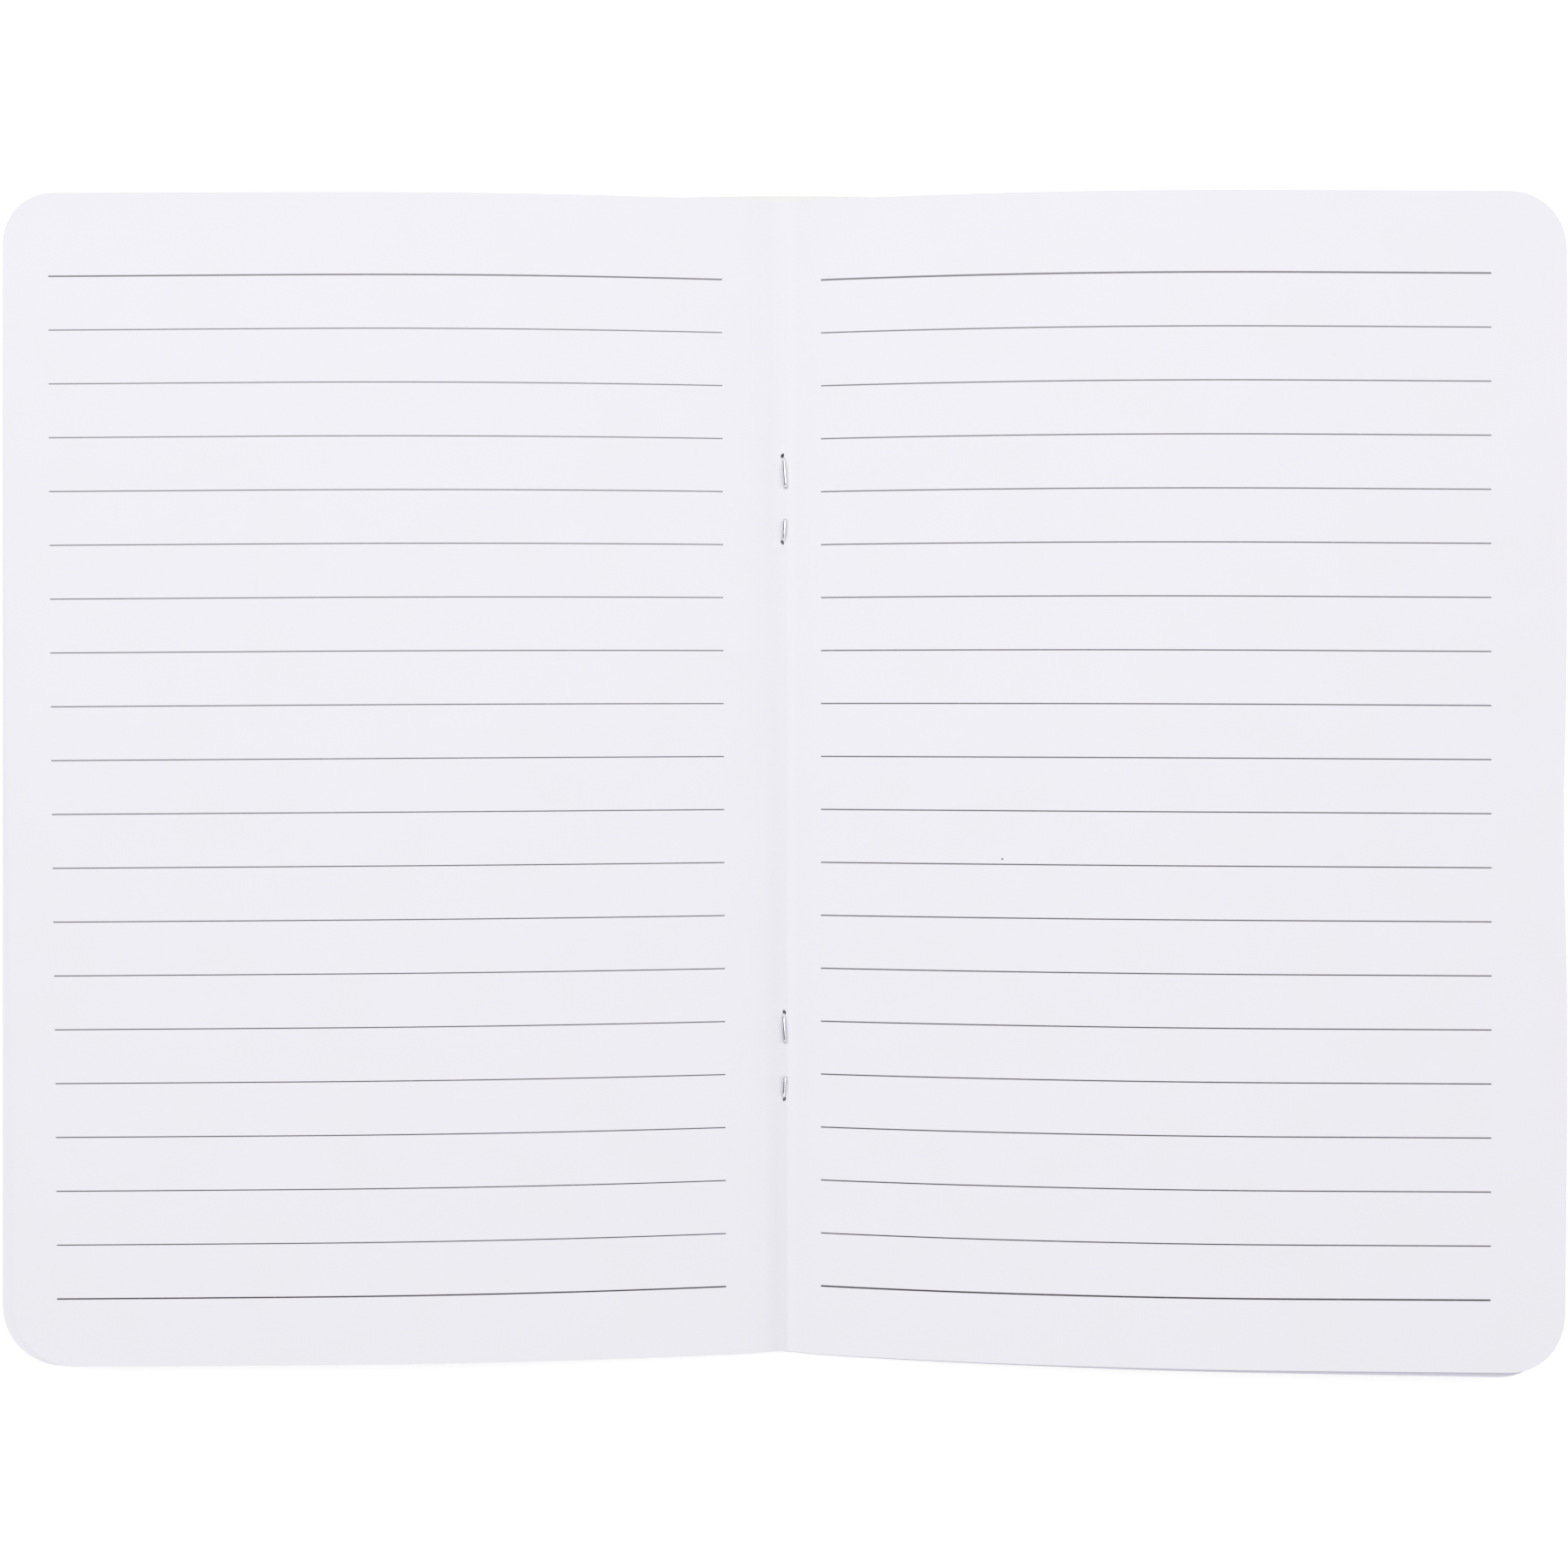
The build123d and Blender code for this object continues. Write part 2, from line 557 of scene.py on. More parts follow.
    def ink_density(self, tree: FinishTree, place: bpy.types.NodeSocket, along: Tone) -> Tone:
        """Density of the ink, which is a little patchy and grows towards the tail.

        Args:
            tree: Tree that gets the nodes.
            place: Place on the leaf, moved by the shift.
            along: Place along the fold.

        Returns:
            The density, up to 1.
        """
        tailward = along.ramp(self.ink_fade_along, -self.ink_fade_along)
        density = tailward * (self.tail_ink_density - self.head_ink_density) + self.head_ink_density
        patches = tree.mottle(place, self.ink_patch_scale).ramp(*self.ink_patch_range)
        return density * (patches * self.ink_patchiness + (1 - self.ink_patchiness))

    def smudge(self, across: Tone, from_tips: Tone) -> Tone:
        """Where painted shade lies beside the legs of a staple, between their tips and their holes.

        Args:
            across: Distance from the fold.
            from_tips: Distance along the fold from the middle between the tips of the legs.

        Returns:
            1 in the painted shade beside the legs, 0 elsewhere.
        """
        beside = across.ramp(self.smudge_reach, 0.0)
        past_tip = from_tips.ramp(self.smudge_near, self.smudge_near + self.smudge_fade)
        before_hole = from_tips.ramp(self.smudge_far, self.smudge_far - self.smudge_fade)
        return beside * past_tip * before_hole

    def fibres(self, tree: FinishTree, place: bpy.types.NodeSocket) -> Tone:
        """Sparse dark fibres, as short marks in a few of the cells.

        Args:
            tree: Tree that gets the nodes.
            place: Place on the leaf, moved by the shift.

        Returns:
            How much of a fibre shows, from 0 on bare paper.
        """
        drawn_out = tree.stretched(place, self.fibre_stretch)
        cells = tree.node("ShaderNodeTexVoronoi", {}, {"Vector": drawn_out, "Scale": 1 / self.fibre_cell})
        distance = Tone(tree, cells.outputs["Distance"]) * self.fibre_cell
        chance, size, _ = tree.parts(cells.outputs["Color"])
        radius = size * self.fibre_radius
        mark = distance.ramp(radius, radius * self.fibre_core)
        return mark * (chance > self.fibre_rarity) * self.fibre_strength


@dataclass(frozen=True)
class CoverOutsideFinish(Finish):
    """Matt coloured card, with paler wear on its edges and along the fold."""

    across_reach: float
    head_y: float
    tail_y: float
    crease_across: float
    tint: Colour = (0.105, 0.145, 0.215)
    pale_tint: Colour = (0.135, 0.180, 0.255)
    grain_scale: float = 2.2
    grain_detail: float = 5.0
    grain_share: float = 0.4
    cloud_scale: float = 0.09
    cloud_range: Span = (0.25, 0.75)
    cloud_share: float = 0.6
    worn_tint: Colour = (0.36, 0.40, 0.46)
    scuff_scale: float = 0.9
    scuff_detail: float = 6.0
    wear_reach: float = 1.1
    wear_range: Span = (0.35, 0.7)
    wear_patchiness: float = 0.6
    least_wear: float = 0.15
    crack_reach: float = 0.7
    crack_range: Span = (0.3, 0.7)
    crack_patchiness: float = 0.25
    least_crack: float = 0.12
    feel: Feel = Feel(roughness=0.52, relief_roughness=0.18, depth=0.02, strength=0.5, gloss=0.4)

    def dress(self, tree: FinishTree) -> None:
        """Adds the finish's nodes to the tree.

        Args:
            tree: Empty tree of the material.
        """
        place = tree.print_place()
        across, along, _ = tree.parts(place)
        grain = tree.mottle(place, self.grain_scale, self.grain_detail)
        clouds = tree.mottle(place, self.cloud_scale).ramp(*self.cloud_range)
        scuffed = tree.mottle(place, self.scuff_scale, self.scuff_detail)
        to_edge = (self.across_reach - across).smaller(self.head_y - along).smaller(along - self.tail_y)
        worn = scuffed.ramp(*self.wear_range) * self.wear_patchiness + self.least_wear
        wear = to_edge.ramp(self.wear_reach, 0.0) * worn
        to_crease = abs(across - self.crease_across)
        cracked = scuffed.ramp(*self.crack_range) * self.crack_patchiness + self.least_crack
        crack = to_crease.ramp(self.crack_reach, 0.0) * cracked
        paleness = clouds * self.cloud_share + grain * self.grain_share
        card = tree.mix(paleness, self.tint, self.pale_tint)
        colour = tree.mix(wear.larger(crack), card, self.worn_tint)
        tree.surface({"Base Color": colour, **self.feel.inputs(tree, grain)})


@dataclass(frozen=True)
class CoverInsideFinish(Finish):
    """Bare pale inside of the card, with a faint warm grey fibre."""

    name: str = "cover_inside"
    tint: Colour = (0.84, 0.84, 0.825)
    fibre_tint: Colour = (0.80, 0.80, 0.785)
    fibre_stretch: Triple = (1.0, 0.35, 1.0)
    fibre_scale: float = 2.8
    fibre_detail: float = 5.0
    fibre_range: Span = (0.45, 0.85)
    feel: Feel = Feel(roughness=0.75, relief_roughness=0.1, depth=0.015, strength=0.4)

    def dress(self, tree: FinishTree) -> None:
        """Adds the finish's nodes to the tree.

        Args:
            tree: Empty tree of the material.
        """
        drawn_out = tree.stretched(tree.print_place(), self.fibre_stretch)
        fibre = tree.mottle(drawn_out, self.fibre_scale, self.fibre_detail)
        colour = tree.mix(fibre.ramp(*self.fibre_range), self.tint, self.fibre_tint)
        tree.surface({"Base Color": colour, **self.feel.inputs(tree, fibre)})


@dataclass(frozen=True)
class WireFinish(Finish):
    """Bright galvanised wire with fine drawing marks along it."""

    name: str = "staple_wire"
    tint: Colour = (0.80, 0.80, 0.82)
    dull_tint: Colour = (0.58, 0.58, 0.61)
    dull_share: float = 0.6
    mark_stretch: Triple = (1.0, 0.12, 1.0)
    mark_scale: float = 9.0
    mark_detail: float = 4.0
    spangle_scale: float = 1.6
    spangle_range: Span = (0.45, 0.75)
    feel: Feel = Feel(
        roughness=0.14, relief_roughness=0.16, depth=0.01, strength=0.35, gloss=0.5, metallic=1.0
    )

    def dress(self, tree: FinishTree) -> None:
        """Adds the finish's nodes to the tree.

        Args:
            tree: Empty tree of the material.
        """
        coordinates = tree.node("ShaderNodeTexCoord", {}, {})
        stretch = tuple(part / MM for part in self.mark_stretch)
        place = tree.stretched(coordinates.outputs["Object"], stretch)
        marks = tree.mottle(place, self.mark_scale, self.mark_detail)
        dullness = tree.mottle(place, self.spangle_scale).ramp(*self.spangle_range) * self.dull_share
        colour = tree.mix(dullness, self.tint, self.dull_tint)
        tree.surface({"Base Color": colour, **self.feel.inputs(tree, marks)})


class Blank:
    """Flat blank of paper or card in millimetres, with its fold edge on across = 0."""

    def __init__(self, corners: Iterable[Point]) -> None:
        """Starts the blank as one flat face.

        Args:
            corners: Outline of the blank, counter-clockwise.
        """
        self.mesh = bmesh.new()
        outline = [self.mesh.verts.new((across, along, 0.0)) for across, along in corners]
        self.mesh.faces.new(outline)

    @classmethod
    def half_spread(
        cls, side: Side, outer: float, tail_y: float, head_y: float, holes: Iterable[LegHole]
    ) -> Blank:
        """Blank of half a sheet or half a cover, with round outer corners and a notch at each staple leg.

        Args:
            side: Half of the spread that the blank is on.
            outer: Distance of the outer edge from the fold.
            tail_y: Place of the tail edge along the fold.
            head_y: Place of the head edge along the fold.
            holes: Holes of the staple legs, from the tail to the head.

        Returns:
            The new blank.
        """
        fold_edge = [point for hole in holes for point in hole.notch(side)]
        blank = cls([(outer, tail_y), (outer, head_y), (0.0, head_y), *fold_edge[::-1], (0.0, tail_y)])
        blank.round_outer_corners(side)
        return blank

    def round_outer_corners(self, side: Side, segments: int = 12) -> None:
        """Rounds the two corners that lie furthest from the fold.

        Args:
            side: Half of the spread that the blank is on.
            segments: Straight pieces of each corner's arc.
        """
        corners = sorted(self.mesh.verts, key=lambda vertex: vertex.co.x)[-2:]
        corners.sort(key=lambda vertex: vertex.co.y)
        for corner, radius in zip(corners, TAIL_AND_HEAD_RADII[side]):
            bmesh.ops.bevel(
                self.mesh,
                geom=[corner],
                offset=radius,
                offset_type="OFFSET",
                segments=segments,
                profile=0.5,
                affect="VERTICES",
                material=-1,
            )

    def cut(self, stations: Iterable[float], normal: Triple) -> None:
        """Cuts the faces along straight lines, so that they can bend there.

        Args:
            stations: Distances of the lines from the origin.
            normal: Direction square to the lines.
        """
        for station in stations:
            bmesh.ops.bisect_plane(
                self.mesh,
                geom=[*self.mesh.verts, *self.mesh.edges, *self.mesh.faces],
                dist=CUT_TOLERANCE,
                plane_co=Vector(normal) * station,
                plane_no=normal,
            )

    def thicken(self, thickness: float) -> None:
        """Gives the blank its thickness, half of it on each side of z = 0, and sharp rims.

        Args:
            thickness: Thickness of the paper or card.
        """
        half = thickness / 2
        bmesh.ops.solidify(self.mesh, geom=list(self.mesh.faces), thickness=thickness)
        lowest = min(vertex.co.z for vertex in self.mesh.verts)
        bmesh.ops.translate(self.mesh, vec=(0.0, 0.0, -half - lowest), verts=self.mesh.verts)
        bmesh.ops.recalc_face_normals(self.mesh, faces=self.mesh.faces)
        for face in self.mesh.faces:
            face.smooth = True
            heights = [vertex.co.z for vertex in face.verts]
            if min(heights) > 0:
                face.material_index = Face.INNER.value
            elif max(heights) < 0:
                face.material_index = Face.OUTER.value
            else:
                face.material_index = Face.RIM.value
        for edge in self.mesh.edges:
            kinds = {face.material_index for face in edge.link_faces}
            edge.smooth = len(kinds) == 1

    def map_print(self) -> None:
        """Keeps each point's place on the flat blank, for what is printed there."""
        layer = self.mesh.loops.layers.uv.new(PRINT_MAP)
        for face in self.mesh.faces:
            for loop in face.loops:
                loop[layer].uv = loop.vert.co.xy / PRINT_SCALE

    def bend(self, place: Callable[[Vector], Vector]) -> None:
        """Moves every point from the flat blank to its place in the book.

        Args:
            place: Gives the place in the book of a point of the flat blank.
        """
        for vertex in self.mesh.verts:
            vertex.co = place(vertex.co)

    def piece(self, name: str, materials: Iterable[bpy.types.Material]) -> bpy.types.Object:
        """Turns the blank into an object in metres.

        Args:
            name: Name of the object.
            materials: Materials of the inner faces, the outer faces and the rim.

        Returns:
            The new object.
        """
        return finished_piece(self.mesh, name, materials)


def finished_piece(
    mesh: bmesh.types.BMesh, name: str, materials: Iterable[bpy.types.Material]
) -> bpy.types.Object:
    """Turns a mesh in millimetres into an object in metres, with its faces outwards.

    Args:
        mesh: The mesh, which is freed.
        name: Name of the object.
        materials: Its materials by index.

    Returns:
        The new object.
    """
    bmesh.ops.scale(mesh, vec=(MM, MM, MM), verts=mesh.verts)
    bmesh.ops.recalc_face_normals(mesh, faces=mesh.faces)
    data = bpy.data.meshes.new(name)
    mesh.to_mesh(data)
    mesh.free()
    for material in materials:
        data.materials.append(material)
    made = bpy.data.objects.new(name, data)
    bpy.context.scene.collection.objects.link(made)
    LOG.info("%s: %d faces", name, len(data.polygons))
    return made


@dataclass(frozen=True)
class Hinge:
    """Hinge line of a flap, in millimetres: its distance from the fold and its height."""

    across: float
    height: float
    blend_reach: float = 0.15

    def blend(self, piece: bpy.types.Object, body: str, side: Side) -> None:
        """Bakes the piece's place into its mesh. The ends of a blend across the hinge line are worked out
        but not used.

        Args:
            piece: The piece, which has no parent.
            body: Body of the flap. Not used.
            side: Half of the spread that the flap is on.
        """
        start = Vector((side.value * (self.across - self.blend_reach), 0.0, self.height)) * MM
        end = Vector((side.value * (self.across + self.blend_reach), 0.0, self.height)) * MM
        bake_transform(piece)

    def stations(self) -> list[float]:
        """Distances from the fold where a blank is cut so that it bends smoothly at the hinge."""
        steps = 3
        return [self.across + self.blend_reach * step / steps for step in range(-steps, steps + 1)]


class BookFrame:
    """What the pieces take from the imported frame."""

    def __init__(self, frame: Mapping[str, object]) -> None:
        """Keeps the frame's joints.
        """
        self.joints = {joint["name"]: joint for joint in frame["joints"]}

    def hinge(self, joint: str) -> Hinge:
        """Hinge line of a joint.

        Args:
            joint: Name of the joint.

        Returns:
            The hinge line in millimetres.
        """
        x, _, z = self.joints[joint]["pos_m"]
        return Hinge(across=abs(x) / MM, height=z / MM)

    def box(self, node: str) -> tuple[Vector, Vector]:
        """Lowest and highest corner of a node in millimetres."""
        low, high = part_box(node)
        return low / MM, high / MM


@dataclass(frozen=True)
class LegHole:
    """Torn hole where a staple leg comes through the fold, in millimetres."""

    along: float
    outward: int
    widths: dict[Side, float]
    inner_reach: float = 0.40
    outer_reach: float = 0.36
    points: int = 6
    pucker_lift: float = 0.10
    pucker_reach: float = 0.75

    def notch(self, side: Side) -> list[Point]:
        """Half of the hole's outline, from its tail end to its head end.

        Args:
            side: Half of the spread that it is cut from.

        Returns:
            Points across and along.
        """
        width = self.widths[side]
        middle = self.along + self.outward * (self.outer_reach - self.inner_reach) / 2
        half_length = (self.outer_reach + self.inner_reach) / 2
        turns = [math.pi * step / self.points for step in range(self.points + 1)]
        return [(width * math.sin(turn), middle - half_length * math.cos(turn)) for turn in turns]

    def pucker(self, across: float, along: float) -> float:
        """Lift of the torn paper round the hole.

        Args:
            across: Distance from the fold.
            along: Place along the fold.

        Returns:
            The lift at that place, which dies away over the pucker's reach.
        """
        beyond = along - self.along - self.outward * self.outer_reach
        reach = self.pucker_reach
        return self.pucker_lift * math.exp(-(across * across + beyond * beyond) / (reach * reach))


@dataclass(frozen=True)
class EdgeDent:
    """Stretch where the innermost leaf's outer edge is drawn in, in millimetres."""

    depth: float
    along: float
    half_length: float
    reach: float

    def pull(self, to_edge: float, along: float) -> float:
        """How far a point of the leaf is drawn in.

        Args:
            to_edge: Distance of the point from the outer edge.
            along: Its place along the fold.

        Returns:
            The distance, towards the fold.
        """
        nearness = max(1 - to_edge / self.reach, 0.0)
        return self.depth * nearness * math.exp(-(((along - self.along) / self.half_length) ** 2))


@dataclass
class SheetBlock:
    """The sixteen folded sheets. Each one is a left and a right half that meet at the fold."""

    frame: BookFrame
    holes: list[LegHole]
    dents: dict[Side, list[EdgeDent]]
    finishes: dict[Side, bpy.types.Material]
    second_leaf_finish: bpy.types.Material
    count: int = 16
    curl_reach: float = 65.5
    left_drop: float = 0.45
    right_drop: float = 0.55
    right_tail_stretch: float = 0.40
    tail_margin: float = 9.0
    second_leaf_skew: float = 0.43
    second_leaf_overhang: float = 0.09
    second_leaf_sag: float = 0.28
    sag_length: float = 40.0
    valley_depth: float = 0.5
    valley_width: float = 2.5
    wave_height: float = 0.16
    wave_length: float = 42.0
    waved_sheets: int = 3
    waved_steps: int = 24
    plain_steps: int = 6
    curl_steps: int = 12
    level_steps: int = 8
    margin_steps: int = 4

    def build(self) -> None:
        """Builds all the half sheets."""
        for number in range(1, self.count + 1):
            for side in Side:
                HalfSheet(self, number, side).build()

    def skew(self, number: int, side: Side) -> float:
        """Small turn of a right-hand leaf in its own plane. It dies away down the stack.

        Args:
            number: Number of the sheet, 1 for the innermost.
            side: Half of the spread that the leaf is on.

        Returns:
            The turn in radians, 0 for the innermost leaf and on the left.
        """
        if number == 1 or side is Side.LEFT:
            return 0.0
        golden_angle = math.pi * (3 - math.sqrt(5))
        share = (1 + math.cos(golden_angle * (number - 2))) / 2
        return -math.radians(self.second_leaf_skew) * share / (number - 1)

    def drop(self, to_tail: float, side: Side) -> float:
        """How far a leaf's outer edge lies towards the tail, against the fold.

        Args:
            to_tail: Distance from the tail edge.
            side: Half of the spread that the leaf is on.

        Returns:
            The distance, which grows on the right in the margin below the printed lines.
        """
        if side is Side.LEFT:
            return self.left_drop
        return self.right_drop + self.right_tail_stretch * smooth_share(1 - to_tail / self.tail_margin)

    def sag(self, across: float, to_tail: float) -> float:
        """How far the second right-hand leaf hangs below the first one at the tail.

        Args:
            across: Distance from the fold.
            to_tail: Distance from the tail edge.

        Returns:
            The distance, downwards.
        """
        outward = smooth_share(across / self.sag_length)
        return self.second_leaf_sag * outward * smooth_share(1 - to_tail / self.sag_length)

    def wave(self, across: float, along: float, side: Side) -> float:
        """Slight waviness of the innermost leaf, which starts some way from the fold."""
        place = Vector((side.value * (across + self.wave_length), along, 0.0)) / self.wave_length
        return self.wave_height * smooth_share(across / self.wave_length) * noise.noise(place)


@dataclass
class HalfSheet:
    """One leaf of a sheet with its half of the fold."""

    block: SheetBlock
    number: int
    side: Side
    hinge: Hinge = field(init=False)
    rise: float = field(init=False)
    thickness: float = field(init=False)
    head_y: float = field(init=False)
    tail_y: float = field(init=False)
    outer: float = field(init=False)

    def __post_init__(self) -> None:
        """Takes the sizes from the frame."""
        frame = self.block.frame
        self.hinge = frame.hinge(f"sheet_{self.number:02d}_{self.side.label}_turn")
        fold_low, fold_high = frame.box(f"sheet_{self.number:02d}_fold")
        self.thickness = fold_high.z - fold_low.z
        self.head_y = fold_high.y
        self.tail_y = fold_low.y
        if self.shows_below:
            self.tail_y -= self.block.second_leaf_overhang
        leaf_low, leaf_high = frame.box(f"sheet_{self.number:02d}_{self.side.label}_leaf")
        self.rise = leaf_high.z - leaf_low.z - self.thickness
        self.outer = leaf_high.x if self.side is Side.RIGHT else -leaf_low.x

    @property
    def shows_below(self) -> bool:
        """Whether this is the second right-hand leaf, which shows beyond the first one at the tail."""
        return self.number == 2 and self.side is Side.RIGHT

    @property
    def share(self) -> float:
        """Share of the innermost leaf's curl that this one has."""
        return 1 - (self.number - 1) / self.block.count

    def height(self, across: float) -> float:
        """Height of the middle of the paper above the fold strip.

        The fold is a small rounded valley, and from there the leaf rises in an arc to a level run.

        Args:
            across: Distance from the fold.

        Returns:
            The height.
        """
        hinge = self.hinge.across
        reach = across * across / (4 * hinge) if across < 2 * hinge else across - hinge
        valley = self.share * self.block.valley_depth
        arc_rise = self.rise - valley
        curl = self.block.curl_reach
        radius = (curl * curl + arc_rise * arc_rise) / (2 * arc_rise)
        to_level = max(curl - reach, 0.0)
        arc = arc_rise - radius + math.sqrt(radius * radius - to_level * to_level)
        return arc + valley * (1 - math.exp(-((reach / self.block.valley_width) ** 2)))

    def place(self, flat: Vector) -> Vector:
        """Place in the book of a point of the flat half sheet.

        Args:
            flat: The point: across, along and its height in the paper's thickness.

        Returns:
            Its place in millimetres.
        """
        across, along, depth = flat
        to_tail = along - self.tail_y
        step = 0.01
        slope = math.atan((self.height(across + step) - self.height(across - step)) / (2 * step))
        up = self.hinge.height + self.height(across)
        up += self.share * self.block.wave(across, along, self.side)
        turn = self.block.skew(self.number, self.side)
        share = across / self.outer
        x = across - (along - self.head_y) * turn * share - depth * math.sin(slope)
        if self.number == 1:
            up += sum(hole.pucker(across, along) for hole in self.block.holes)
            x -= sum(dent.pull(self.outer - across, along) for dent in self.block.dents[self.side])
        if self.shows_below:
            up -= self.block.sag(across, to_tail)
        y = along + across * turn - self.block.drop(to_tail, self.side) * share
        return Vector((self.side.value * x, y, up + depth * math.cos(slope)))

    def across_stations(self) -> list[float]:
        """Distances from the fold where the leaf is cut so that it can curl.

        Returns:
            The distances. They lie closer together in the fold's valley, up to the curl's second step.
        """
        block = self.block
        near_fold = [0.15, 0.3, 2 * self.hinge.across, 2.1, 2.8, 3.6, 4.6, 6.0, 8.0]
        curl = even_steps(0.0, block.curl_reach, block.curl_steps)[2:]
        level = even_steps(block.curl_reach, self.outer - block.curl_reach, block.level_steps)[1:-1]
        return self.hinge.stations() + near_fold + curl + level

    def along_stations(self) -> list[float]:
        """Places along the fold where the leaf is cut so that it can wave and pucker.

        Returns:
            The places. They lie closer together in the tail margin, and round the innermost leaf's holes.
        """
        block = self.block
        steps = block.waved_steps if self.number <= block.waved_sheets else block.plain_steps
        stations = even_steps(self.tail_y, self.head_y - self.tail_y, steps)[1:-1]
        stations += even_steps(self.tail_y, block.tail_margin, block.margin_steps)[1:]
        if self.number == 1:
            around = (-1.2, -0.6, 0.45, 0.75, 1.0, 1.3, 1.8, 2.6)
            stations += [hole.along + hole.outward * step for hole in block.holes for step in around]
        return stations

    def build(self) -> bpy.types.Object:
        """Builds the half sheet.

        Returns:
            The new piece.
        """
        blank = Blank.half_spread(self.side, self.outer, self.tail_y, self.head_y, self.block.holes)
        blank.cut(self.across_stations(), ACROSS)
        blank.cut(self.along_stations(), ALONG)
        blank.thicken(self.thickness)
        blank.map_print()
        blank.bend(self.place)
        name = f"sheet_{self.number:02d}_{self.side.label}"
        finish = self.block.second_leaf_finish if self.shows_below else self.block.finishes[self.side]
        piece = blank.piece(f"{name}_page", [finish] * len(Face))
        self.hinge.blend(piece, name, self.side)
        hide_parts(f"{name}_leaf", f"sheet_{self.number:02d}_fold")
        return piece


@dataclass
class Cover:
    """Folded card cover under the sheets, as two halves that meet at the fold."""

    frame: BookFrame
    holes: list[LegHole]
    ramp: float = 14.0
    ramp_steps: int = 10

    def build(self) -> None:
        """Builds and dresses both halves."""
        inside = CoverInsideFinish().material()
        for side in Side:
            self.half(side, inside)

    def half(self, side: Side, inside: bpy.types.Material) -> bpy.types.Object:
        """Builds one half of the cover.

        Args:
            side: Half of the spread that it lies under.
            inside: Finish of its inner faces and its rim.

        Returns:
            The new piece.
        """
        hinge = self.frame.hinge(f"{side.cover}_close")
        spine_low, spine_high = self.frame.box("cover_spine")
        flap_low, flap_high = self.frame.box(side.cover)
        outer = flap_high.x if side is Side.RIGHT else -flap_low.x
        thickness = spine_high.z - spine_low.z
        level_height = flap_low.z + thickness / 2

        def place(flat: Vector) -> Vector:
            """Place in the book of a point of the flat half cover.

            Args:
                flat: The point: across, along and its height in the card's thickness.

            Returns:
                Its place in millimetres.
            """
            across, along, depth = flat
            down = smooth_share((across - hinge.across) / self.ramp)
            height = hinge.height + (level_height - hinge.height) * down
            return Vector((side.value * across, along, height + depth))

        blank = Blank.half_spread(side, outer, flap_low.y, flap_high.y, self.holes)
        ramp_stations = even_steps(hinge.across, self.ramp, self.ramp_steps)[1:]
        blank.cut(hinge.stations() + ramp_stations, ACROSS)
        blank.thicken(thickness)
        blank.map_print()
        blank.bend(place)
        outside = CoverOutsideFinish(
            name=f"{side.cover}_outside",
            across_reach=outer,
            head_y=flap_high.y,
            tail_y=flap_low.y,
            crease_across=hinge.across,
        ).material()
        piece = blank.piece(f"{side.cover}_card", [inside, outside, inside])
        hinge.blend(piece, side.cover, side)
        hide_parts(side.cover, "cover_spine")
        return piece


@dataclass
class WirePath:
    """Centre line of a bent wire in the plane x = 0, walked from its start."""

    place: Vector
    heading: float = 0.0
    stops: list[Matrix] = field(default_factory=list)

    def __post_init__(self) -> None:
        """Keeps the start as the first stop."""
        self._stop()

    def _stop(self) -> None:
        """Adds a stop, with its Z axis along the wire."""
        turn = Matrix.Rotation(self.heading - math.pi / 2, 4, "X")
        self.stops.append(Matrix.Translation(self.place) @ turn)

    def run(self, length: float, turn: float = 0.0, steps: int = 1) -> None:
        """Walks on, straight or in an even bend.

        Args:
            length: Length of the wire that is walked.
            turn: Turn in degrees over that length, from Y towards Z.
            steps: Stops along it.
        """
        for _ in range(steps):
            self.heading += math.radians(turn) / steps / 2
            way = Vector((0.0, math.cos(self.heading), math.sin(self.heading)))
            self.place = self.place + way * length / steps
            self.heading += math.radians(turn) / steps / 2
            self._stop()


